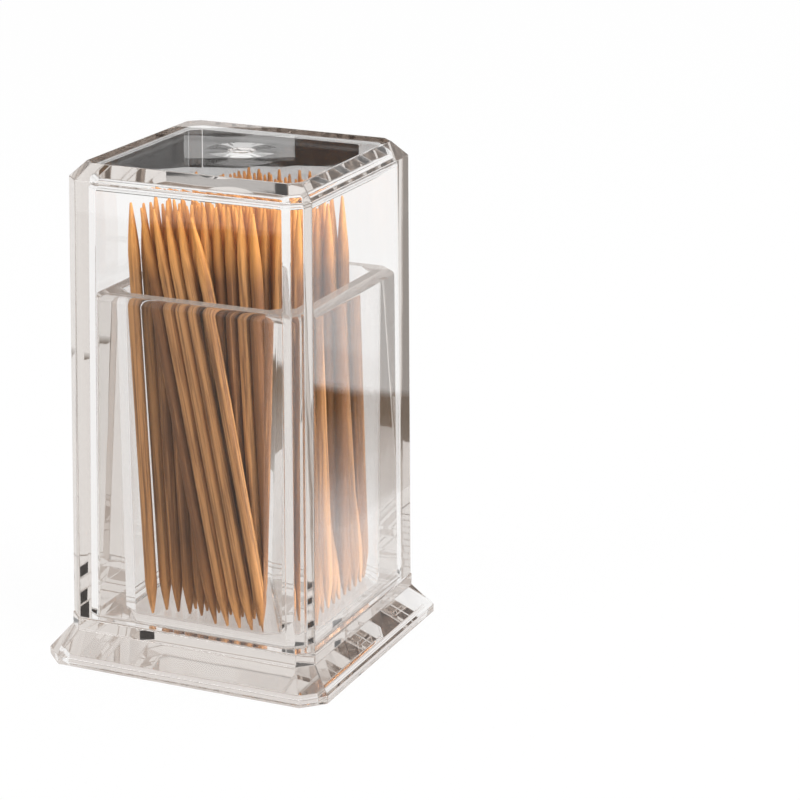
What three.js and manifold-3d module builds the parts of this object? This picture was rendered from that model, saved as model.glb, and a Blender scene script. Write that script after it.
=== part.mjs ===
// Square toothpick holder: a clear cup on a flanged base, a clear lift-off cover and the toothpicks in it.
// Millimetres, +Z up. The origin is the middle of the underside, on the table. The wide face seen first
// looks along -Y, and the toothpicks lean in rows that run along X.

import * as THREE from "three";
import { mergeVertices } from "three/addons/utils/BufferGeometryUtils.js";
import Module from "manifold-3d";

const wasm = await Module();
wasm.setup();

// Toothpicks: the size that gives the scale of everything else
const PICK_LENGTH = 65;
const PICK_DIAMETER = 1.9;
const PICK_TAPER = 5;
const PICK_POINT_DIAMETER = 0.35;
const PICK_SIDES = 8;

// Base: foot rim, lip, sloped skirt and plinth
const BASE_WIDTH = 47.3;
const BASE_CHAMFER = 3.2;
const FOOT_RIM_WIDTH = 2.5;
const FOOT_RIM_HEIGHT = 0.5;
const LIP_HEIGHT = 1.3;
const SKIRT_HEIGHT = 3.7;
const PLINTH_HEIGHT = 1.95;
const PLINTH_LEDGE = 0.1;
const PLINTH_CHAMFER = 2.2;

// Cover: width at its lower edge. Its height is what an upright toothpick in the cup needs, plus headroom
const COVER_WIDTH = 41;
const COVER_CHAMFER = 2.3;
const COVER_WALL = 2.8;
const CAVITY_CHAMFER = 1.7;
const TIP_HEADROOM = 2.3;
const COVER_TOP_THICKNESS = 3.2;
const COVER_OUTER_DRAFT = 0.75;
const COVER_INNER_DRAFT = 0.9;
const BEVEL_HEIGHT = 2.3;
const BEVEL_INSET = 2.27;
const TOP_CHAMFER = 1.6;
const CEILING_FILLET = 0.8;
const GATE_MARK_RADIUS = 2.6;
const GATE_MARK_DEPTH = 0.25;
const GATE_MARK_SIDES = 24;
const GATE_MARK_STEPS = 3;

// Cup: a slip fit inside the cover, standing on the plinth
const CUP_CLEARANCE = 0.4;
const CUP_RIM_ABOVE_PLINTH = 51.05;
const CUP_OUTER_DRAFT = 0.7;
const CUP_RIM_WALL = 2.8;
const CUP_INNER_DRAFT = 0.5;
const CUP_INNER_CHAMFER = 2.4;
const CUP_FLOOR_THICKNESS = 6.6;
const RIM_ROUND = 1.2;
const FLOOR_FILLET = 0.5;

// Bundle: how the toothpicks stand in the cup
const STICK_GAP = 0.1;
const ROW_GAP = 0.12;
const TOP_ROW_GAP = 0.08;
const WALL_GAP = 0.2;
const FLOOR_GAP = 0.1;
const RIGHT_SPACE = 1.5;
const LEFT_SPACE = 1;
// the room that the rows behind the full ones leave free on their left
const FREE_STRIP = 5.1;
const FULL_ROWS = 4;
const WELD_DEPTH = 0.02;
const SINGLE_ROWS = 6;
// how far each row's tops stand to the left of its feet, front row first
const ROW_LEAN_SHARES = [0.185, 0.05, 0.11, -0.02, 0.15, 0.02, 0.08, 0.17, 0, 0.125, 0.04, 0.1, 0.015];
// how much wider the tops of a row spread than its feet, for the rows that lean little
const FAN_SHARE = 0.13;
const STEEP_LEAN_SHARE = 0.03;
// the one that stands alone in the front left corner, as shares of the cup's half widths
const CORNER_FOOT_SHARE = 0.64;
const CORNER_HEAD_SHARE = 0.83;

// what a chamfer's leg loses where both its sides move in by one
const CORNER_SHARE = 2 - Math.SQRT2;

// Levels
const lipTop = LIP_HEIGHT;
const skirtTop = lipTop + SKIRT_HEIGHT;
const plinthTop = skirtTop + PLINTH_HEIGHT;
const rimTop = plinthTop + CUP_RIM_ABOVE_PLINTH;
const floorTop = CUP_FLOOR_THICKNESS + FOOT_RIM_HEIGHT;
const ceiling = floorTop + FLOOR_GAP + PICK_LENGTH + TIP_HEADROOM;
const coverTop = ceiling + COVER_TOP_THICKNESS;
const bevelFoot = coverTop - BEVEL_HEIGHT;

// Half widths
const baseHalf = BASE_WIDTH / 2;
const coverHalf = COVER_WIDTH / 2;
const coverHalfTop = coverHalf - COVER_OUTER_DRAFT;
const cavityHalf = coverHalf - COVER_WALL;
const cavityHalfTop = cavityHalf - COVER_INNER_DRAFT;
const plinthHalf = coverHalf + PLINTH_LEDGE;
const cupHalf = cavityHalf - CUP_CLEARANCE;
const cupHalfRim = cupHalf - CUP_OUTER_DRAFT;
const cupInnerRim = cupHalfRim - CUP_RIM_WALL;
const cupInnerFloor = cupInnerRim - CUP_INNER_DRAFT;

// Chamfer legs that keep the same clearance, or the same wall, all the way round a corner
const cupChamfer = CAVITY_CHAMFER - CUP_CLEARANCE * CORNER_SHARE;
const rimFlatChamfer = cupChamfer - RIM_ROUND * CORNER_SHARE;

// Corners of a square of half width half whose corners are cut at 45 degrees, as a ring at level z
function chamferedRing(half, chamfer, z) {
  const cut = half - chamfer;
  return [
    [cut, -half], [half, -cut], [half, cut], [cut, half],
    [-cut, half], [-half, cut], [-half, -cut], [-cut, -half],
  ].map(([x, y]) => new THREE.Vector3(x, y, z));
}

// One closed body from a run of rings: the first and the last ring are capped, and each ring is joined to
// the next. A run that starts at the underside goes up the outside and ends inside.
function skinRings(rings) {
  const count = rings[0].length;
  const positions = rings.flat().flatMap((point) => point.toArray());
  const index = [];
  for (let ring = 0; ring + 1 < rings.length; ring += 1) {
    for (let side = 0; side < count; side += 1) {
      const next = (side + 1) % count;
      const a = ring * count + side;
      const b = ring * count + next;
      const c = a + count;
      const d = b + count;
      index.push(a, b, d, a, d, c);
    }
  }
  const last = (rings.length - 1) * count;
  for (let side = 1; side + 1 < count; side += 1) {
    index.push(0, side + 1, side);
    index.push(last, last + side, last + side + 1);
  }
  const geometry = new THREE.BufferGeometry();
  geometry.setAttribute("position", new THREE.Float32BufferAttribute(positions, 3));
  geometry.setIndex(index);
  geometry.computeVertexNormals();
  return geometry;
}

// A closed geometry as a solid that can be cut and joined
function toSolid(geometry) {
  const bare = geometry.clone();
  bare.deleteAttribute("normal");
  bare.deleteAttribute("uv");
  const merged = mergeVertices(bare);
  const mesh = new wasm.Mesh({
    numProp: 3,
    vertProperties: new Float32Array(merged.attributes.position.array),
    triVerts: new Uint32Array(merged.index.array),
  });
  return new wasm.Manifold(mesh);
}

// A solid back as a geometry
function toGeometry(solid) {
  const mesh = solid.getMesh();
  const geometry = new THREE.BufferGeometry();
  geometry.setAttribute("position", new THREE.Float32BufferAttribute(mesh.vertProperties, 3));
  geometry.setIndex(Array.from(mesh.triVerts));
  geometry.computeVertexNormals();
  return geometry;
}

// Cup and base in one moulding: up the outside from the foot rim, over the cup's rim and down to its floor
function holderGeometry() {
  const recessHalf = baseHalf - FOOT_RIM_WIDTH;
  const recessChamfer = BASE_CHAMFER - FOOT_RIM_WIDTH * CORNER_SHARE;
  const shoulder = RIM_ROUND * (1 - Math.SQRT1_2);
  const shoulderChamfer = cupChamfer - shoulder * CORNER_SHARE;
  const innerChamferStep = FLOOR_FILLET * CORNER_SHARE;
  return skinRings([
    chamferedRing(recessHalf, recessChamfer, FOOT_RIM_HEIGHT),
    chamferedRing(recessHalf, recessChamfer, 0),
    chamferedRing(baseHalf, BASE_CHAMFER, 0),
    chamferedRing(baseHalf, BASE_CHAMFER, lipTop),
    chamferedRing(plinthHalf, PLINTH_CHAMFER, skirtTop),
    chamferedRing(plinthHalf, PLINTH_CHAMFER, plinthTop),
    chamferedRing(cupHalf, cupChamfer, plinthTop),
    chamferedRing(cupHalfRim, cupChamfer, rimTop - RIM_ROUND),
    chamferedRing(cupHalfRim - shoulder, shoulderChamfer, rimTop - shoulder),
    chamferedRing(cupHalfRim - RIM_ROUND, rimFlatChamfer, rimTop),
    chamferedRing(cupInnerRim, CUP_INNER_CHAMFER, rimTop),
    chamferedRing(cupInnerFloor, CUP_INNER_CHAMFER, floorTop + FLOOR_FILLET),
    chamferedRing(cupInnerFloor - FLOOR_FILLET, CUP_INNER_CHAMFER - innerChamferStep, floorTop),
  ]);
}

// Cover: from the ceiling down the inside, across the lower edge and up the outside to the flat top,
// with the shallow round mark that the moulding gate leaves in the middle of the top
function coverGeometry() {
  const filletShoulder = CEILING_FILLET * (1 - Math.SQRT1_2);
  const inside = (inset, z) => {
    return chamferedRing(cavityHalfTop - inset, CAVITY_CHAMFER - inset * CORNER_SHARE, z);
  };
  const shell = skinRings([
    inside(CEILING_FILLET, ceiling),
    inside(filletShoulder, ceiling - filletShoulder),
    inside(0, ceiling - CEILING_FILLET),
    chamferedRing(cavityHalf, CAVITY_CHAMFER, plinthTop),
    chamferedRing(coverHalf, COVER_CHAMFER, plinthTop),
    chamferedRing(coverHalfTop, COVER_CHAMFER, bevelFoot),
    chamferedRing(coverHalfTop - BEVEL_INSET, TOP_CHAMFER, coverTop),
  ]);
  const ballRadius = (GATE_MARK_RADIUS ** 2 + GATE_MARK_DEPTH ** 2) / (2 * GATE_MARK_DEPTH);
  const rimAngle = Math.asin(GATE_MARK_RADIUS / ballRadius);
  const bowl = [];
  for (let step = 0; step <= GATE_MARK_STEPS; step += 1) {
    const angle = (rimAngle * step) / GATE_MARK_STEPS;
    const drop = GATE_MARK_DEPTH - ballRadius * (1 - Math.cos(angle));
    bowl.push(new THREE.Vector2(ballRadius * Math.sin(angle), coverTop - drop));
  }
  bowl.push(new THREE.Vector2(GATE_MARK_RADIUS, coverTop + GATE_MARK_DEPTH));
  bowl.push(new THREE.Vector2(0, coverTop + GATE_MARK_DEPTH));
  const gate = new THREE.LatheGeometry(bowl, GATE_MARK_SIDES).rotateX(Math.PI / 2);
  return toGeometry(toSolid(shell).subtract(toSolid(gate)));
}

// One toothpick along +Z from its lower point, with flat sides towards X and Y
function pickGeometry() {
  const radius = PICK_DIAMETER / 2;
  const pointRadius = PICK_POINT_DIAMETER / 2;
  const profile = [
    new THREE.Vector2(0, 0),
    new THREE.Vector2(pointRadius, 0),
    new THREE.Vector2(radius, PICK_TAPER),
    new THREE.Vector2(radius, PICK_LENGTH - PICK_TAPER),
    new THREE.Vector2(pointRadius, PICK_LENGTH),
    new THREE.Vector2(0, PICK_LENGTH),
  ];
  return new THREE.LatheGeometry(profile, PICK_SIDES, Math.PI / PICK_SIDES).rotateX(Math.PI / 2);
}

// How far from the middle a toothpick's axis can stand, at distance y from the middle the other way, in a
// cup of half width half with cut corners
function sideRoom(half, y) {
  const reach = PICK_DIAMETER / 2 + WALL_GAP;
  const toCorner = 2 * half - CUP_INNER_CHAMFER - Math.abs(y) - reach * Math.SQRT2;
  return Math.min(half - reach, toCorner);
}

// A toothpick that stands on the cup's floor, by where its foot and its head are
function standingPick(footX, footY, headX, headY) {
  const footLevel = floorTop + FLOOR_GAP;
  const across = Math.hypot(headX - footX, headY - footY);
  const rise = Math.sqrt(PICK_LENGTH ** 2 - across ** 2);
  return {
    foot: new THREE.Vector3(footX, footY, footLevel),
    head: new THREE.Vector3(headX, headY, footLevel + rise),
  };
}

// Where every toothpick's foot and head stand. Each row lies in a plane of its own, so rows that lean
// by different amounts cross behind one another without touching.
function layOutRows() {
  const radius = PICK_DIAMETER / 2;
  const flatWidth = PICK_DIAMETER * Math.cos(Math.PI / PICK_SIDES);
  const footPitchY = PICK_DIAMETER + ROW_GAP;
  const headPitchY = PICK_DIAMETER + TOP_ROW_GAP;
  const backFoot = cupInnerFloor - WALL_GAP - radius;
  const frontHead = -(cupInnerRim - WALL_GAP / 2 - radius);
  const rows = [];
  for (let row = 0; row * footPitchY <= 2 * backFoot; row += 1) {
    const footY = row * footPitchY - backFoot;
    const headY = row * headPitchY + frontHead;
    const leftSpace = row < FULL_ROWS ? LEFT_SPACE : FREE_STRIP;
    const rightFoot = Math.min(cupInnerFloor - RIGHT_SPACE - radius, sideRoom(cupInnerFloor, footY));
    const leftHead = -Math.min(cupInnerRim - leftSpace - radius, sideRoom(cupInnerRim, headY));
    const share = ROW_LEAN_SHARES[row % ROW_LEAN_SHARES.length];
    const rightHead = rightFoot - share * PICK_LENGTH;
    const welded = row >= SINGLE_ROWS;
    const slope = 1 / Math.sqrt(1 - share ** 2);
    const footPitch = welded ? (flatWidth - WELD_DEPTH) * slope : (PICK_DIAMETER + STICK_GAP) * slope;
    const fans = !welded && share < STEEP_LEAN_SHARE;
    const headPitch = fans ? footPitch * (1 + FAN_SHARE) : footPitch;
    const sticks = [];
    for (let stick = 0; rightHead - stick * headPitch >= leftHead; stick += 1) {
      sticks.push(standingPick(rightFoot - stick * footPitch, footY, rightHead - stick * headPitch, headY));
    }
    if (row === 0) {
      const cornerFoot = -CORNER_FOOT_SHARE * cupInnerFloor;
      const cornerHead = -CORNER_HEAD_SHARE * cupInnerRim;
      sticks.push(standingPick(cornerFoot, footY, cornerHead, headY));
    }
    rows.push({ welded, sticks });
  }
  return rows;
}

// The turn that stands a toothpick on its foot and leans it towards its head
function leanOf({ foot, head }) {
  const direction = head.clone().sub(foot).normalize();
  return new THREE.Quaternion().setFromUnitVectors(new THREE.Vector3(0, 0, 1), direction);
}

// A hidden row whose sticks stand side by side, joined along the flats where they touch
function weldedRowGeometry(sticks) {
  const solids = sticks.map((stick) => {
    const placed = pickGeometry().applyQuaternion(leanOf(stick)).translate(...stick.foot.toArray());
    return toSolid(placed);
  });
  return toGeometry(solids.reduce((row, solid) => row.add(solid)));
}

// Materials
function clearPlastic(name) {
  return new THREE.MeshStandardMaterial({
    name, color: 0xf1f4f3, roughness: 0.04, metalness: 0, transparent: true, opacity: 0.3,
  });
}

function bamboo(number) {
  const tones = [0xc08f55, 0xb5834a, 0xca9a60, 0xb98a53];
  return new THREE.MeshStandardMaterial({
    name: "bamboo", color: tones[number % tones.length], roughness: 0.75, metalness: 0,
  });
}

// Assembly
const group = new THREE.Group();
group.name = "toothpick_holder";

const holder = new THREE.Mesh(holderGeometry(), clearPlastic("holder_plastic"));
holder.name = "holder";
group.add(holder);

const cover = new THREE.Mesh(coverGeometry(), clearPlastic("cover_plastic"));
cover.name = "cover";
group.add(cover);

const bundle = new THREE.Group();
group.add(bundle);
let pickNumber = 0;
let rowNumber = 0;
for (const { welded, sticks } of layOutRows()) {
  rowNumber += 1;
  if (welded) {
    const row = new THREE.Mesh(weldedRowGeometry(sticks), bamboo(rowNumber));
    row.name = `toothpick_row_${String(rowNumber).padStart(2, "0")}`;
    bundle.add(row);
  } else {
    for (const stick of sticks) {
      pickNumber += 1;
      const pick = new THREE.Mesh(pickGeometry(), bamboo(pickNumber));
      pick.name = `toothpick_${String(pickNumber).padStart(2, "0")}`;
      pick.position.copy(stick.foot);
      pick.quaternion.copy(leanOf(stick));
      bundle.add(pick);
    }
  }
}

export default group;
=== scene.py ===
import math
import random

import bpy
import numpy as np
from bpy.props import FloatProperty, FloatVectorProperty, IntProperty, PointerProperty
from mathutils import Matrix, Vector


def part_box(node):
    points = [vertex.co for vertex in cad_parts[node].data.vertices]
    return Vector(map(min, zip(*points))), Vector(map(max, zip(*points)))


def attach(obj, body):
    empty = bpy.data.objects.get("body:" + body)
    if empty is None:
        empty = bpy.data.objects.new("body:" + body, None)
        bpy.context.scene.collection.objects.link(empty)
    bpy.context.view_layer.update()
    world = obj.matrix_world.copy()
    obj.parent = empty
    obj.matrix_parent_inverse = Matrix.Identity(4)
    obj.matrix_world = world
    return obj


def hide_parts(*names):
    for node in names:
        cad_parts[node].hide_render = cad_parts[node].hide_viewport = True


bl_info = {
    "name": "Toothpick holder",
    "version": (1, 0, 0),
    "blender": (4, 5, 0),
    "location": "3D View > Sidebar > Toothpick holder",
    "description": "A clear square toothpick holder with a lift-off cover, full of double-pointed toothpicks",
    "category": "Object",
}

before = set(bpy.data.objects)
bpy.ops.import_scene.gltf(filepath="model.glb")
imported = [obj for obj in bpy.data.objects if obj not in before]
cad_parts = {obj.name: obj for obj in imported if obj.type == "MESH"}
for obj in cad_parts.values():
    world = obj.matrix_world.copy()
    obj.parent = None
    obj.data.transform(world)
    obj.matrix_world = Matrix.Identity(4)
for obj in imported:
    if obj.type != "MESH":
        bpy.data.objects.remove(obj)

MM = 0.001
TURN = 2 * math.pi
CORNERS = 8
EIGHTH = TURN / CORNERS

# The photograph's camera, found from the edges of the holder
CAMERA_AZIMUTH = math.radians(23.15)
CAMERA_ELEVATION = math.radians(17.26)
CAMERA_ROLL = math.radians(0.49)
CAMERA_AIM = Vector((16.57, 22.39, 34.32)) * MM
CAMERA_DISTANCE = 438.75 * MM
CAMERA_LENS = 123.86
CAMERA_SENSOR = 36.0
CAMERA_CLIP_START = 0.01

# Light goes to and fro in the thick walls many times before it leaves them
LIGHT_BOUNCES = 96

# The air between the cover's lower edge and the plinth that it stands on
CONTACT_GAP = 0.03 * MM

# An outline narrower than this share of its moulding's half width belongs to the gate mark
SMALLEST_OUTLINE = 1 / 3

# The most of a straight that a bend may take at each of its ends
LONGEST_BEND = 0.48

# The bends of the mouldings, as shares of the edge rounding
BASE_BEND = 0.7
FOOT_INNER_BEND = 0.5
CUP_RIM_BEND = 1.2
COVER_FOOT_BEND = 0.6

# Where the mouldings' profiles begin and end on a flat face, as shares of its width
RECESS_SHARE = 0.9
FLOOR_SHARE = 0.85
FLOOR_ROUND_SHARE = 0.8
CEILING_SHARE = 0.5

# The rings of the gate mark: radius in gate radii, depth under the top, and rounding of the bend
GATE_RINGS = (
    (2.1, 0, 3 * MM),
    (0.8, 0.045 * MM, 0.3 * MM),
    (0.7, 0.22 * MM, 0.15 * MM),
    (0.5, 0.05 * MM, 0.3 * MM),
    (0.15, 0.13 * MM, 0),
)
# The corner cut, in radii, that makes an outline with rounded edges a circle
CIRCLE_CUT = 2 - math.sqrt(2)

# The waves and the haze of a moulded face, per metre, with the waves' depth and the roughness of the haze
WAVES = 90
WAVE_STRENGTH = 0.06
WAVE_DEPTH = 0.2 * MM
HAZE = 260
HAZE_ROUGHNESS = ((0.35, 0), (0.8, 0.03))
# How much of a lamp's light the clear plastic's shadow lets through
SHADOW_LEVEL = 0.96

# The bamboo's markings per millimetre, twice across the stick and then along it
FIBRES = (2.6, 2.6, 0.09)
BANDS = (1.3, 1.3, 0.04)
BUNDLES = (2.6, 2.6, 0.06)
FIBRE_ROUGHNESS = 0.65
# How much each adds to a toothpick's shade, and from where to where the shade turns from dark to light wood
FIBRE_SHARE = 0.55
BAND_SHARE = 0.45
TONE_SHARE = 0.35
SHADE_TO_LIGHT = ((0.40, 0), (0.58, 1))
# The dark bundles: from where to where they show, how strongly, and their colour
BUNDLES_SHOW = ((0.52, 0), (0.60, 1))
BUNDLE_STRENGTH = 0.5
BUNDLE_WOOD = (0.11, 0.045, 0.018, 1)
TIP_STRENGTH = 0.8
# The relief of the grain
FIBRE_HEIGHT = 0.7
BUNDLE_HEIGHT = 0.3
GRAIN_STRENGTH = 0.5
GRAIN_DEPTH = 0.06 * MM
BAMBOO_ROUGHNESS = 0.62
BAMBOO_SHINE = 0.35

# The rings of a toothpick: their places on a pointed end in taper lengths, and how many lie between the ends
END_RINGS = (0, 0.01, 0.04, 0.09, 0.17, 0.27, 0.4, 0.55, 0.72, 0.88, 1, 1.15)
MIDDLE_START = 1.4
MIDDLE_RINGS = 9
# How a pointed end swells to the full thickness, and how wide its last face is, as a share of the point
SWELL_POWER = 1.4
END_FACE_SHARE = 0.6
# How far toothpicks differ: their tapers, thickness, flatness, the lumps round them, and the place in the grain
TAPER_RANGE = (0.9, 1.15)
THICKNESS_RANGE = (0.965, 1)
FLATTEST = 0.03
LUMPS = 3
LUMP_WAVES = (2, 5)
LUMP_DEPTH = 0.006
GRAIN_SHIFT = (50, 50, 500)
# How the fresh colour of an end fades along the stick, and how evenly the corner stick bends
TIP_FADE_POWER = 0.8
BOW_POWER = 4
# In the frame's mesh: how deep the end face of a leaning toothpick reaches, and the least gap between two
END_FACE_DEPTH = 0.5 * MM
STICK_GAP = 0.7 * MM

FLOOR_HALF = 3.0
FLOOR_GAP = 0.1 * MM

# Studio flags that only mirrors and clear plastic see. They give the plastic something dark to show.
# Upright: name, middle, width, height, colour, and how many faces of plastic the light crosses to meet it
UPRIGHT_FLAGS = (
    ("dark_wall", (-0.15, 0.3, 0.152), 0.8, 0.018, (0.035, 0.035, 0.037), 0),
    ("pale_card", (-0.148, 0.295, 0.1475), 0.03, 0.006, (0.6, 0.6, 0.6), 0),
    ("dark_card", (-0.0467, 0.0821, 0.0564), 0.0546, 0.0088, (0.035, 0.033, 0.03), 4),
)
# Fades: places from 0 at a flag's near edge to 1 at its far edge, each with how much of the colour shows there
# over white, and the level of that white
SIDE_FADES = ((0, 0), (0.35, 0.7), (0.8, 1), (0.94, 1), (1, 0))
FADED_LEVEL = 0.95
# Level: name, two corners, height, colour and fades
LEVEL_FLAGS = (
    ("front_flag", (-0.3, -0.3), (0.02, -0.03), 1 * MM, (0.28, 0.25, 0.22), ()),
    ("side_flag", (0.045, 0.05), (0.1, 0.131), 1 * MM, (0.12, 0.07, 0.03), SIDE_FADES),
    # The next card is a painted shadow: the holder's shadow on the floor under its base, as a grey card that only the
    # plastic shows
    ("painted_floor_shadow", (-0.023, -0.023), (0.023, 0.023), -FLOOR_GAP / 2, (0.7, 0.65, 0.62), ()),
)

# Soft lamps: name, place and width. They look at the middle of the holder
LAMP_AIM = Vector((0, 0, 0.035))
KEY_LAMP = ("key_light", (-0.7, -1.3, 0.6), 0.8)
TOP_LAMP = ("top_light", (0.2, 0.3, 1.6), 1.0)
FILL_LAMP = ("fill_light", (1.6, -0.1, 0.6), 0.8)


# Sizes and colours that a user would change


class PlasticSettings(bpy.types.PropertyGroup):
    edge_round: FloatProperty(
        name="Edge rounding", description="Radius of the mouldings' outer edges",
        default=0.3 * MM, min=0.05 * MM, max=1 * MM, unit="LENGTH", precision=5)
    corner_round: FloatProperty(
        name="Corner rounding", description="Radius of the upright edges beside the cut corners",
        default=0.4 * MM, min=0.05 * MM, max=1 * MM, unit="LENGTH", precision=5)
    inner_round: FloatProperty(
        name="Inner rounding", description="Radius of the edges inside the cover and round the cup's floor",
        default=0.5 * MM, min=0.05 * MM, max=2 * MM, unit="LENGTH", precision=5)
    cup_round: FloatProperty(
        name="Cup rounding", description="Radius of the upright edges inside the cup",
        default=0.06 * MM, min=0.05 * MM, max=2 * MM, unit="LENGTH", precision=5)
    edge_steps: IntProperty(
        name="Edge steps", description="Faces across one rounded edge", default=6, min=2, max=16)
    gate_radius: FloatProperty(
        name="Gate mark radius", description="Radius of the round mark in the middle of the top",
        default=2.6 * MM, min=0, unit="LENGTH", precision=5)
    ior: FloatProperty(
        name="Refraction", description="Index of refraction of the clear plastic",
        default=1.49, min=1.3, max=1.7)
    tint: FloatVectorProperty(
        name="Tint", description="Colour of the clear plastic, which deepens with the way through it",
        subtype="COLOR", size=4, default=(0.42, 0.30, 0.20, 1), min=0, max=1)
    depth_of_tint: FloatProperty(
        name="Depth of tint", description="How much the plastic takes from light, for each metre of its way",
        default=11, min=0)


class ToothpickSettings(bpy.types.PropertyGroup):
    diameter: FloatProperty(
        name="Diameter", description="Thickness of a toothpick", default=1.9 * MM, unit="LENGTH", precision=5)
    taper: FloatProperty(
        name="Taper", description="Length of each upper pointed end", default=8.5 * MM, unit="LENGTH", precision=5)
    foot_taper: FloatProperty(
        name="Foot taper", description="Length of each lower pointed end, which is worn blunter",
        default=5.5 * MM, unit="LENGTH", precision=5)
    fresh_end: FloatProperty(
        name="Fresh end", description="How far the brighter colour of a pointed end reaches",
        default=11 * MM, unit="LENGTH", precision=5)
    fresh_foot: FloatProperty(
        name="Fresh foot", description="How bright the lower end is, against the upper one",
        default=0.3, min=0, max=1)
    point: FloatProperty(
        name="Point", description="Thickness of the blunt point", default=0.35 * MM, unit="LENGTH", precision=5)
    short_by: FloatProperty(
        name="Uneven length", description="How much shorter than the longest a toothpick may be",
        default=1.1 * MM, unit="LENGTH", precision=5)
    corner_bow: FloatProperty(
        name="Corner bow", description="How far the toothpick in the front corner bends toward the next one",
        default=0.55 * MM, unit="LENGTH", precision=5)
    sunk_rows: FloatProperty(
        name="Hidden rows", description="How much lower the toothpicks of the hidden rows end",
        default=2 * MM, unit="LENGTH", precision=5)
    sides: IntProperty(name="Sides", description="Faces round a toothpick", default=16, min=8, max=48)
    light_wood: FloatVectorProperty(
        name="Light wood", description="Colour of the light fibres", subtype="COLOR", size=4,
        default=(0.55, 0.27, 0.10, 1), min=0, max=1)
    dark_wood: FloatVectorProperty(
        name="Dark wood", description="Colour of the dark fibres", subtype="COLOR", size=4,
        default=(0.19, 0.076, 0.025, 1), min=0, max=1)
    tip_wood: FloatVectorProperty(
        name="Tip", description="Colour of the cut, pointed ends", subtype="COLOR", size=4,
        default=(0.88, 0.37, 0.07, 1), min=0, max=1)


class StageSettings(bpy.types.PropertyGroup):
    floor_colour: FloatVectorProperty(
        name="Floor", description="Colour of the floor", subtype="COLOR", size=4,
        default=(0.86, 0.86, 0.86, 1), min=0, max=1)
    floor_glow: FloatProperty(
        name="Floor glow", description="How far the floor shows as plain white, and not by its light and shadow",
        default=0.95, min=0, max=1)
    room_level: FloatProperty(
        name="Room light", description="Strength of the light that comes from all round", default=0.6, min=0)
    key_power: FloatProperty(
        name="Key light", description="Power of the main soft light", default=8, min=0, unit="POWER")
    fill_power: FloatProperty(
        name="Fill light", description="Power of the soft light on the narrower side", default=30, min=0, unit="POWER")
    top_power: FloatProperty(
        name="Top light", description="Power of the soft light overhead", default=5, min=0, unit="POWER")


# Shader maths


class Term:
    """A socket in an expression. Each operator adds one Math node, so 1 - mask * 0.5 works as it is written."""

    def __init__(self, graph, socket):
        self.graph = graph
        self.socket = socket

    def math(self, operation, *values, clamp=False):
        inputs = dict(enumerate(values))
        return self.graph.add("ShaderNodeMath", {"operation": operation, "use_clamp": clamp}, inputs)

    def __add__(self, other):
        return self.math("ADD", self, other)

    def __radd__(self, other):
        return self.math("ADD", other, self)

    def __sub__(self, other):
        return self.math("SUBTRACT", self, other)

    def __rsub__(self, other):
        return self.math("SUBTRACT", other, self)

    def __mul__(self, other):
        return self.math("MULTIPLY", self, other)

    def __rmul__(self, other):
        return self.math("MULTIPLY", other, self)

    def __lt__(self, other):
        return self.math("LESS_THAN", self, other)

    def __gt__(self, other):
        return self.math("GREATER_THAN", self, other)

    def clamped(self):
        return self.math("ADD", self, 0, clamp=True)


class Graph:
    """The nodes of one material or of the world."""

    def __init__(self, tree):
        self.tree = tree
        tree.nodes.clear()

    def add(self, kind, settings=None, inputs=None, output=0):
        """One node of this kind: its settings first, then the value or link of each socket."""
        node = self.tree.nodes.new(kind)
        for name, value in (settings or {}).items():
            if name == "stops":
                self.set_stops(node.color_ramp, value)
            else:
                setattr(node, name, value)
        for name, value in (inputs or {}).items():
            if isinstance(value, Term):
                self.tree.links.new(value.socket, node.inputs[name])
            else:
                node.inputs[name].default_value = value
        return Term(self, node.outputs[output]) if node.outputs else None

    @staticmethod
    def set_stops(ramp, stops):
        while len(ramp.elements) < len(stops):
            ramp.elements.new(1)
        for element, (position, colour) in zip(ramp.elements, stops):
            element.position = position
            element.color = colour

    def ramp(self, value, stops):
        """A ramp through grey levels, each at its place from 0 to 1."""
        return self.add("ShaderNodeValToRGB", {"stops": [(place, grey(level)) for place, level in stops]}, {0: value})

    def mix_colour(self, share, first, second):
        return self.add("ShaderNodeMix", {"data_type": "RGBA"}, {0: share, 6: first, 7: second}, output=2)

    def mix_shader(self, share, first, second):
        return self.add("ShaderNodeMixShader", None, {0: share, 1: first, 2: second})

    def scaled(self, vector, scale):
        return self.add("ShaderNodeVectorMath", {"operation": "MULTIPLY"}, {0: vector, 1: scale})

    def glow(self, colour):
        return self.add("ShaderNodeEmission", None, {"Color": colour, "Strength": 1.0})

    def noise(self, vector, scale, detail, roughness=0.5):
        inputs = {"Vector": vector, "Scale": scale, "Detail": detail, "Roughness": roughness}
        return self.add("ShaderNodeTexNoise", None, inputs)


def grey(level):
    return (level, level, level, 1)


def new_material(name):
    material = bpy.data.materials.new(name)
    material.use_nodes = True
    return material, Graph(material.node_tree)


def finish_material(graph, shader, inside=None):
    outputs = {"Surface": shader}
    if inside:
        outputs["Volume"] = inside
    graph.add("ShaderNodeOutputMaterial", None, outputs)


# Materials


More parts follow.
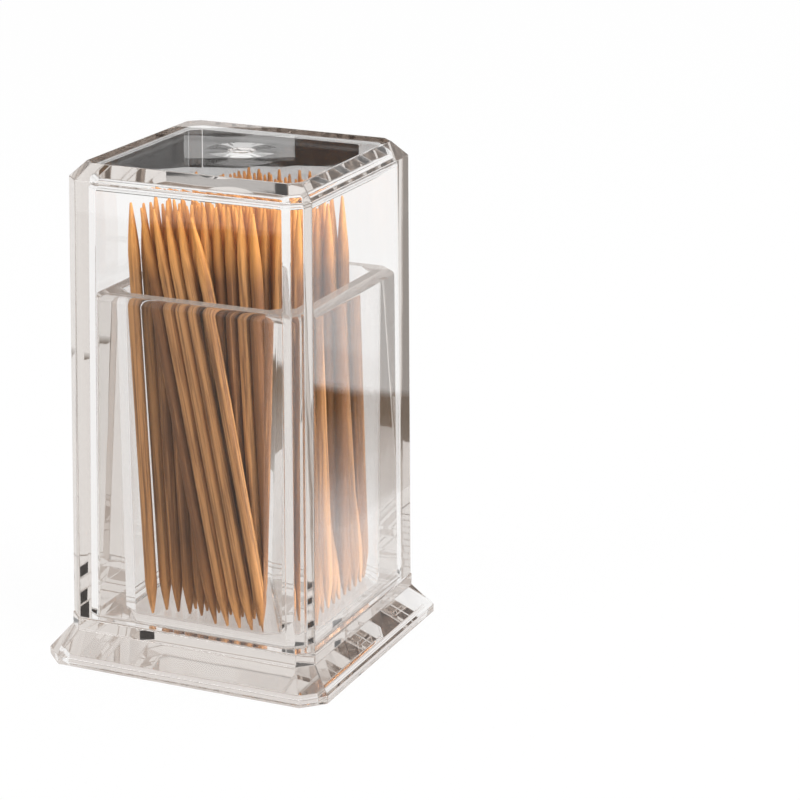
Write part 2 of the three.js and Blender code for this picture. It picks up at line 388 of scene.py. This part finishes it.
def clear_plastic(name):
    """Polished clear plastic with the faint waves of a moulded face. Lamps shine through it."""
    settings = bpy.context.scene.holder_plastic
    material, graph = new_material(name)
    place = graph.add("ShaderNodeTexCoord", output="Object")
    waves = graph.noise(place, WAVES, detail=1)
    haze = graph.noise(place, HAZE, detail=3)
    bump = graph.add("ShaderNodeBump", None, {"Strength": WAVE_STRENGTH, "Distance": WAVE_DEPTH, "Height": waves})
    plastic = graph.add("ShaderNodeBsdfPrincipled", None, {
        "Base Color": grey(1), "Roughness": graph.ramp(haze, HAZE_ROUGHNESS),
        "IOR": settings.ior, "Transmission Weight": 1.0, "Normal": bump})
    open_way = graph.add("ShaderNodeBsdfTransparent", None, {"Color": grey(SHADOW_LEVEL)})
    to_lamp = graph.add("ShaderNodeLightPath", output="Is Shadow Ray")
    inside = graph.add("ShaderNodeVolumeAbsorption", None, {
        "Color": tuple(settings.tint), "Density": settings.depth_of_tint})
    finish_material(graph, graph.mix_shader(to_lamp, plastic, open_way), inside)
    return material


def bamboo():
    """Split bamboo: fine fibres along the stick, dark bundles, and paler, more orange, frayed ends."""
    settings = bpy.context.scene.holder_toothpicks
    material, graph = new_material("bamboo")
    grain = graph.add("ShaderNodeAttribute", {"attribute_name": "grain"}, output="Vector")
    tone = graph.add("ShaderNodeAttribute", {"attribute_name": "tone"}, output="Fac")
    tip = graph.add("ShaderNodeAttribute", {"attribute_name": "tip"}, output="Fac")
    fibres = graph.noise(graph.scaled(grain, FIBRES), 1, detail=3, roughness=FIBRE_ROUGHNESS)
    bands = graph.noise(graph.scaled(grain, BANDS), 1, detail=2)
    bundles = graph.noise(graph.scaled(grain, BUNDLES), 1, detail=1)
    shade = (fibres * FIBRE_SHARE + bands * BAND_SHARE + (tone - 0.5) * TONE_SHARE).clamped()
    wood = graph.mix_colour(
        graph.ramp(shade, SHADE_TO_LIGHT), tuple(settings.dark_wood), tuple(settings.light_wood))
    streaked = graph.mix_colour(graph.ramp(bundles, BUNDLES_SHOW) * BUNDLE_STRENGTH, wood, BUNDLE_WOOD)
    ends = (tip * TIP_STRENGTH + (fibres - 0.5) * tip * TIP_STRENGTH).clamped()
    height = fibres * FIBRE_HEIGHT + bundles * BUNDLE_HEIGHT
    bump = graph.add("ShaderNodeBump", None, {
        "Strength": GRAIN_STRENGTH, "Distance": GRAIN_DEPTH, "Height": height})
    shader = graph.add("ShaderNodeBsdfPrincipled", None, {
        "Base Color": graph.mix_colour(ends, streaked, tuple(settings.tip_wood)),
        "Roughness": BAMBOO_ROUGHNESS, "Specular IOR Level": BAMBOO_SHINE, "Normal": bump})
    finish_material(graph, shader)
    return material


# Shapes


def levels_of(node):
    """The outlines (half width, corner cut, height) of a square moulding with cut corners, from the frame's mesh:
    a list for each height, lowest first, and in it the narrowest outline first."""
    cuts = {}
    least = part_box(node)[1].x * SMALLEST_OUTLINE
    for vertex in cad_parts[node].data.vertices:
        x, y, z = (round(value, 6) for value in vertex.co)
        wide, narrow = max(abs(x), abs(y)), min(abs(x), abs(y))
        cuts.setdefault((z, wide), []).append(round(wide - narrow, 6))
    levels = {}
    for (z, half), found in sorted(cuts.items()):
        if half > least and len(set(found)) == 1:
            levels.setdefault(z, []).append((half, found[0], z))
    return list(levels.values())


def plan_of(half, cut, radius, steps):
    """A square of that half width with its corners cut and each of its eight edges rounded: the points, how far
    the outline reaches in each point's direction, and those directions. All of it is linear in the three sizes."""
    reach = [half, (2 * half - cut) / math.sqrt(2)]
    points, supports, normals = [], [], []
    for corner in range(CORNERS):
        start = corner * EIGHTH
        end = start + EIGHTH
        sides = np.array([[math.cos(start), math.sin(start)], [math.cos(end), math.sin(end)]])
        away = np.array([reach[corner % 2] - radius, reach[(corner + 1) % 2] - radius])
        centre = np.linalg.solve(sides, away)
        for step in range(steps + 1):
            angle = start + EIGHTH * step / steps
            normal = np.array([math.cos(angle), math.sin(angle)])
            points.append(centre + radius * normal)
            supports.append(centre @ normal + radius)
            normals.append(normal)
    return np.array(points), np.array(supports), np.array(normals)


def rounded_profile(corners, steps):
    """The profile through these corners (half width, cut, edge radius, height, bend radius), each bend rounded.
    Returns each point's four sizes and the direction in which they change there."""
    sizes = [np.array(corner[:4]) for corner in corners]
    places = []
    for index, here in enumerate(sizes):
        bend = corners[index][4]
        if index in (0, len(sizes) - 1):
            places.append((here, sizes[min(index + 1, len(sizes) - 1)] - sizes[max(index - 1, 0)]))
            continue
        back = sizes[index - 1] - here
        forth = sizes[index + 1] - here
        back_length = math.hypot(back[0], back[3])
        forth_length = math.hypot(forth[0], forth[3])
        cosine = -(back[0] * forth[0] + back[3] * forth[3]) / (back_length * forth_length)
        turn = math.acos(max(-1, min(1, cosine)))
        reach = min(bend * math.tan(turn / 2), LONGEST_BEND * back_length, LONGEST_BEND * forth_length)
        begin = here + back * reach / back_length
        finish = here + forth * reach / forth_length
        weight = math.cos(turn / 2)
        for step in range(steps + 1):
            t = step / steps
            a, b, c = (1 - t) ** 2, 2 * t * (1 - t) * weight, t ** 2
            total = a + b + c
            point = (a * begin + b * here + c * finish) / total
            da, db, dc = -2 * (1 - t), 2 * (1 - 2 * t) * weight, 2 * t
            slope = da * begin + db * here + dc * finish - point * (da + db + dc)
            places.append((point, slope))
    return places


def skin(rings, count, base=0):
    """The faces of a closed skin over rings of that many points, the first of them at index base."""
    faces = [tuple(base + side for side in reversed(range(count)))]
    for ring in range(rings - 1):
        low = base + ring * count
        for side in range(count):
            after = (side + 1) % count
            faces.append((low + side, low + after, low + count + after, low + count + side))
    top = base + (rings - 1) * count
    faces.append(tuple(top + side for side in range(count)))
    return faces


def smooth_mesh(name, vertices, faces):
    mesh = bpy.data.meshes.new(name)
    mesh.from_pydata(vertices, [], faces)
    mesh.polygons.foreach_set("use_smooth", [True] * len(mesh.polygons))
    return mesh


def moulding(name, places, steps):
    """A closed moulding swept round the square: one rounded outline at each place of its profile."""
    vertices, normals = [], []
    for point, slope in places:
        outline, _, directions = plan_of(point[0], point[1], point[2], steps)
        _, spread, _ = plan_of(slope[0], slope[1], slope[2], steps)
        for (x, y), (nx, ny), change in zip(outline, directions, spread):
            vertices.append((x, y, point[3]))
            normals.append(Vector((nx * slope[3], ny * slope[3], -change)).normalized())
    mesh = smooth_mesh(name, vertices, skin(len(places), CORNERS * (steps + 1)))
    mesh.normals_split_custom_set_from_vertices(normals)
    mesh.update()
    return mesh


def add_piece(name, mesh, material, body, slot, *nodes):
    piece = bpy.data.objects.new(name, mesh)
    bpy.context.scene.collection.objects.link(piece)
    piece.data.materials.append(material)
    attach(piece, body)
    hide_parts(*nodes)


def sticks_in(node):
    """The foot and head of each toothpick in a node, left to right, from the frame's mesh."""
    corners = np.array(sorted({tuple(round(c, 6) for c in v.co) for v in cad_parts[node].data.vertices}))
    ends = []
    for level, side in ((corners[:, 2].min(), 1), (corners[:, 2].max(), -1)):
        near = corners[(corners[:, 2] - level) * side < END_FACE_DEPTH]
        near = near[near[:, 0].argsort()]
        breaks = np.flatnonzero(np.diff(near[:, 0]) > STICK_GAP) + 1
        ends.append([Vector(group.mean(axis=0)) for group in np.split(near, breaks)])
    return list(zip(*ends))


def ring_levels(length, taper_low, taper_high):
    """Where the rings of a toothpick lie along it."""
    middle = np.linspace(taper_low * MIDDLE_START, length - taper_high * MIDDLE_START, MIDDLE_RINGS)
    upper = [length - taper_high * share for share in reversed(END_RINGS)]
    return [taper_low * share for share in END_RINGS] + list(middle) + upper


def ring_size(share, radius, point):
    """The radius of a ring, where share is how far it lies from the point, in taper lengths."""
    blunt = point / 2 / radius
    size = radius * (blunt + (1 - blunt) * (1 - (1 - min(share, 1)) ** SWELL_POWER))
    return size if share > 0 else size * END_FACE_SHARE


def toothpick_mesh(name, sticks, seed, shorter, bow):
    """Double-pointed toothpicks, each slightly uneven in thickness, section and length."""
    settings = bpy.context.scene.holder_toothpicks
    chance = random.Random(seed)
    sides = settings.sides
    vertices, faces, grain, tone, tip = [], [], [], [], []
    for foot, head in sticks:
        axis = head - foot
        length = axis.length - shorter - chance.uniform(0, settings.short_by)
        axis.normalize()
        across = axis.orthogonal().normalized()
        beside = axis.cross(across)
        turn = chance.uniform(0, TURN)
        radius = settings.diameter / 2 * chance.uniform(*THICKNESS_RANGE)
        oval = chance.uniform(0, FLATTEST)
        stick_tone = chance.random()
        shift = Vector([chance.uniform(0, most) for most in GRAIN_SHIFT])
        lumps = [(chance.randint(*LUMP_WAVES), chance.uniform(0, TURN), chance.uniform(0, TURN)) for _ in range(LUMPS)]
        taper_low = settings.foot_taper * chance.uniform(*TAPER_RANGE)
        taper_high = settings.taper * chance.uniform(*TAPER_RANGE)
        levels = ring_levels(length, taper_low, taper_high)
        faces += skin(len(levels), sides, len(vertices))
        for level in levels:
            size = ring_size(min(level / taper_low, (length - level) / taper_high), radius, settings.point)
            bend = bow * (1 - (2 * level / length - 1) ** BOW_POWER)
            centre = foot + axis * level + Vector((bend, 0, 0))
            fresh = max(0, 1 - min(level, length - level) / settings.fresh_end) ** TIP_FADE_POWER
            for side in range(sides):
                angle = TURN * side / sides
                uneven = 1 - oval * (1 + math.cos(2 * angle + turn)) / 2
                for waves, phase, drift in lumps:
                    uneven -= LUMP_DEPTH * (1 + math.sin(waves * angle + phase + drift * level / length))
                local = Vector((math.cos(angle), math.sin(angle))) * size * uneven
                vertices.append(centre + across * local.x + beside * local.y)
                grain.append(Vector((local.x / MM, local.y / MM, level / MM)) + shift)
                tone.append(stick_tone)
                tip.append(fresh if level > length / 2 else fresh * settings.fresh_foot)
    mesh = smooth_mesh(name, vertices, faces)
    mesh.attributes.new("grain", "FLOAT_VECTOR", "POINT").data.foreach_set(
        "vector", np.array(grain, np.float32).ravel())
    mesh.attributes.new("tone", "FLOAT", "POINT").data.foreach_set("value", tone)
    mesh.attributes.new("tip", "FLOAT", "POINT").data.foreach_set("value", tip)
    mesh.update()
    return mesh


# Operators


class HOLDER_OT_build_holder(bpy.types.Operator):
    """Builds the cup and its flanged base, one clear moulding"""

    bl_idname = "holder.build_holder"
    bl_label = "Build cup and base"

    def execute(self, context):
        look = context.scene.holder_plastic
        edge, corner, inner = look.edge_round, look.corner_round, look.inner_round
        levels = levels_of("holder")
        foot_in, foot_out = levels[0]
        (recess,), (lip,), (skirt,) = levels[1:4]
        cup_foot, plinth = levels[4]
        (floor,), (floor_wall,), (shoulder,), _, (rim_in, _) = levels[5:]
        rim_height = rim_in[2]
        bend = edge * BASE_BEND
        profile = [
            (recess[0] * RECESS_SHARE, recess[1] * RECESS_SHARE, corner, recess[2], 0),
            (*recess[:2], corner, recess[2], bend),
            (*foot_in[:2], corner, foot_in[2], edge * FOOT_INNER_BEND),
            (*foot_out[:2], corner, foot_out[2], bend),
            (*lip[:2], corner, lip[2], bend),
            (*skirt[:2], corner, skirt[2], bend),
            (*plinth[:2], corner, plinth[2], bend),
            (*cup_foot[:2], corner, cup_foot[2], bend),
            (*shoulder[:2], corner, rim_height, rim_height - shoulder[2]),
            (*rim_in[:2], look.cup_round, rim_height, edge * CUP_RIM_BEND),
            (*floor_wall[:2], look.cup_round, floor[2], inner),
            (floor[0] * FLOOR_SHARE, floor[1] * FLOOR_SHARE, look.cup_round * FLOOR_ROUND_SHARE, floor[2], 0),
        ]
        mesh = moulding("cup_and_base", rounded_profile(profile, look.edge_steps), look.edge_steps)
        add_piece("cup_and_base", mesh, clear_plastic("holder_plastic"), "base", "holder_plastic", "holder")
        return {"FINISHED"}


class HOLDER_OT_build_cover(bpy.types.Operator):
    """Builds the lift-off cover, one clear moulding with a bevelled top"""

    bl_idname = "holder.build_cover"
    bl_label = "Build cover"

    def execute(self, context):
        look = context.scene.holder_plastic
        edge, corner, inner = look.edge_round, look.corner_round, look.inner_round
        (foot_in, foot_out), (wall_top,), _, (ceiling,), (bevel,), (top,) = levels_of("cover")
        fillet = ceiling[2] - wall_top[2]
        foot_level = foot_in[2] + CONTACT_GAP
        foot_bend = edge * COVER_FOOT_BEND
        profile = [
            (ceiling[0] * CEILING_SHARE, ceiling[1] * CEILING_SHARE, inner, ceiling[2], 0),
            (*wall_top[:2], inner, ceiling[2], fillet),
            (*foot_in[:2], inner, foot_level, foot_bend),
            (*foot_out[:2], corner, foot_level, foot_bend),
            (*bevel[:2], corner, bevel[2], edge),
            (*top[:2], corner, top[2], edge),
        ]
        for share, depth, bend in GATE_RINGS:
            radius = look.gate_radius * share
            profile.append((radius, radius * CIRCLE_CUT, radius, top[2] - depth, bend))
        mesh = moulding("clear_cover", rounded_profile(profile, look.edge_steps), look.edge_steps)
        add_piece("clear_cover", mesh, clear_plastic("cover_plastic"), "cover", "cover_plastic", "cover")
        return {"FINISHED"}


class HOLDER_OT_build_toothpicks(bpy.types.Operator):
    """Builds the toothpicks that stand in the cup, each in its place in the frame"""

    bl_idname = "holder.build_toothpicks"
    bl_label = "Build toothpicks"

    def execute(self, context):
        settings = context.scene.holder_toothpicks
        wood = bamboo()
        names = sorted(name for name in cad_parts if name.startswith("toothpick"))
        for seed, node in enumerate(names):
            shorter = settings.sunk_rows if node.startswith("toothpick_row") else 0
            bow = settings.corner_bow if node == names[0] else 0
            mesh = toothpick_mesh(f"bamboo_{node}", sticks_in(node), seed, shorter, bow)
            add_piece(f"bamboo_{node}", mesh, wood, "base", "bamboo", node)
        return {"FINISHED"}


class HOLDER_OT_build_stage(bpy.types.Operator):
    """Builds the floor, the lights and the camera"""

    bl_idname = "holder.build_stage"
    bl_label = "Build stage"

    def execute(self, context):
        scene = context.scene
        stage = scene.holder_stage
        scene.view_settings.view_transform = "Standard"
        scene.cycles.max_bounces = LIGHT_BOUNCES
        scene.cycles.glossy_bounces = LIGHT_BOUNCES
        scene.cycles.transmission_bounces = LIGHT_BOUNCES
        add_floor(stage)
        for name, middle, width, height, colour, faces in UPRIGHT_FLAGS:
            add_flag(upright_plane(name, middle, width, height), colour, faces=faces)
        for name, low, high, level, colour, fades in LEVEL_FLAGS:
            add_flag(level_plane(name, low, high, level), colour, fades=fades)
        add_world(stage)
        add_lamp(*KEY_LAMP, stage.key_power)
        add_lamp(*TOP_LAMP, stage.top_power)
        add_lamp(*FILL_LAMP, stage.fill_power)
        add_camera(scene)
        return {"FINISHED"}


def seen_as_backdrop(graph):
    """1 on a ray from the camera, or from a mirror or clear plastic on the camera's way, that has met nothing matt"""
    direct = graph.add("ShaderNodeLightPath", output="Is Camera Ray")
    mirrored = graph.add("ShaderNodeLightPath", output="Is Glossy Ray")
    refracted = graph.add("ShaderNodeLightPath", output="Is Transmission Ray")
    matt_met = graph.add("ShaderNodeLightPath", output="Diffuse Depth")
    return (direct + mirrored + refracted).clamped() * (matt_met < 0.5)


def upright_plane(name, middle, width, height):
    """A plane of that width and height, upright at middle, that faces the holder."""
    mesh = bpy.data.meshes.new(name)
    x, z = width / 2, height / 2
    mesh.from_pydata([(-x, 0, -z), (x, 0, -z), (x, 0, z), (-x, 0, z)], [], [(0, 1, 2, 3)])
    plane = bpy.data.objects.new(name, mesh)
    plane.location = middle
    plane.rotation_euler.z = math.atan2(middle[1], middle[0]) - TURN / 4
    return plane


def level_plane(name, low, high, level):
    """A plane that lies level between two corners."""
    mesh = bpy.data.meshes.new(name)
    corners = [(low[0], low[1], 0), (high[0], low[1], 0), (high[0], high[1], 0), (low[0], high[1], 0)]
    mesh.from_pydata(corners, [], [(0, 1, 2, 3)])
    plane = bpy.data.objects.new(name, mesh)
    plane.location.z = level
    return plane


def add_floor(stage):
    floor = level_plane("floor", (-FLOOR_HALF, -FLOOR_HALF), (FLOOR_HALF, FLOOR_HALF), -FLOOR_GAP)
    bpy.context.scene.collection.objects.link(floor)
    material, graph = new_material("floor")
    matt = graph.add("ShaderNodeBsdfDiffuse", None, {"Color": tuple(stage.floor_colour)})
    share = seen_as_backdrop(graph) * stage.floor_glow
    finish_material(graph, graph.mix_shader(share, matt, graph.glow(grey(1))))
    floor.data.materials.append(material)


def add_flag(flag, colour, fades=(), faces=0):
    """A studio flag, which throws no shadow. Fades turn it white over its depth. Faces is how many faces of clear
    plastic the light has to cross before it meets the flag."""
    bpy.context.scene.collection.objects.link(flag)
    material, graph = new_material(flag.name)
    shader = graph.glow((*colour, 1))
    if fades:
        place = graph.add("ShaderNodeTexCoord", output="Generated")
        depth = graph.add("ShaderNodeSeparateXYZ", None, {0: place}, output="Y")
        shader = graph.mix_shader(graph.ramp(depth, fades), graph.glow(grey(FADED_LEVEL)), shader)
    if faces:
        crossed = graph.add("ShaderNodeLightPath", output="Transmission Depth")
        nothing = graph.add("ShaderNodeBsdfTransparent")
        shader = graph.mix_shader(crossed > faces - 0.5, nothing, shader)
    finish_material(graph, shader)
    flag.data.materials.append(material)
    flag.visible_camera = False
    flag.visible_diffuse = False
    flag.visible_shadow = False


def add_world(stage):
    world = bpy.data.worlds.new("studio")
    world.use_nodes = True
    bpy.context.scene.world = world
    graph = Graph(world.node_tree)
    level = stage.room_level + (1 - stage.room_level) * seen_as_backdrop(graph)
    light = graph.add("ShaderNodeBackground", None, {"Color": grey(1), "Strength": level})
    graph.add("ShaderNodeOutputWorld", None, {"Surface": light})


def add_lamp(name, place, size, power):
    data = bpy.data.lights.new(name, "AREA")
    data.shape = "SQUARE"
    data.size = size
    data.energy = power
    lamp = bpy.data.objects.new(name, data)
    lamp.location = place
    lamp.rotation_euler = (LAMP_AIM - lamp.location).to_track_quat("-Z", "Y").to_euler()
    lamp.visible_camera = False
    lamp.visible_transmission = False
    bpy.context.scene.collection.objects.link(lamp)


def add_camera(scene):
    back = Vector((math.sin(CAMERA_AZIMUTH) * math.cos(CAMERA_ELEVATION),
                   -math.cos(CAMERA_AZIMUTH) * math.cos(CAMERA_ELEVATION), math.sin(CAMERA_ELEVATION)))
    right = Vector((math.cos(CAMERA_AZIMUTH), math.sin(CAMERA_AZIMUTH), 0))
    up = back.cross(right)
    rolled_right = right * math.cos(CAMERA_ROLL) + up * math.sin(CAMERA_ROLL)
    rolled_up = up * math.cos(CAMERA_ROLL) - right * math.sin(CAMERA_ROLL)
    data = bpy.data.cameras.new("camera")
    data.lens = CAMERA_LENS
    data.sensor_width = CAMERA_SENSOR
    data.clip_start = CAMERA_CLIP_START
    camera = bpy.data.objects.new("camera", data)
    turn = Matrix((rolled_right, rolled_up, back)).transposed().to_4x4()
    camera.matrix_world = Matrix.Translation(CAMERA_AIM + back * CAMERA_DISTANCE) @ turn
    scene.collection.objects.link(camera)
    scene.camera = camera


class HOLDER_PT_panel(bpy.types.Panel):
    bl_idname = "HOLDER_PT_panel"
    bl_label = "Toothpick holder"
    bl_space_type = "VIEW_3D"
    bl_region_type = "UI"
    bl_category = "Toothpick holder"

    def draw(self, context):
        for group in (context.scene.holder_plastic, context.scene.holder_toothpicks, context.scene.holder_stage):
            box = self.layout.box()
            for name in group.__annotations__:
                box.prop(group, name)
        for operator in OPERATORS:
            self.layout.operator(operator.bl_idname)


SETTINGS = {
    "holder_plastic": PlasticSettings,
    "holder_toothpicks": ToothpickSettings,
    "holder_stage": StageSettings,
}
OPERATORS = [
    HOLDER_OT_build_holder,
    HOLDER_OT_build_cover,
    HOLDER_OT_build_toothpicks,
    HOLDER_OT_build_stage,
]


def register():
    for kind in [*SETTINGS.values(), *OPERATORS, HOLDER_PT_panel]:
        bpy.utils.register_class(kind)
    for name, kind in SETTINGS.items():
        setattr(bpy.types.Scene, name, PointerProperty(type=kind))


def unregister():
    for name in SETTINGS:
        delattr(bpy.types.Scene, name)
    for kind in [HOLDER_PT_panel, *OPERATORS, *SETTINGS.values()]:
        bpy.utils.unregister_class(kind)


def main():
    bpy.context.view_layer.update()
    register()
    bpy.ops.holder.build_holder()
    bpy.ops.holder.build_cover()
    bpy.ops.holder.build_toothpicks()
    bpy.ops.holder.build_stage()


if __name__ == "__main__":
    main()
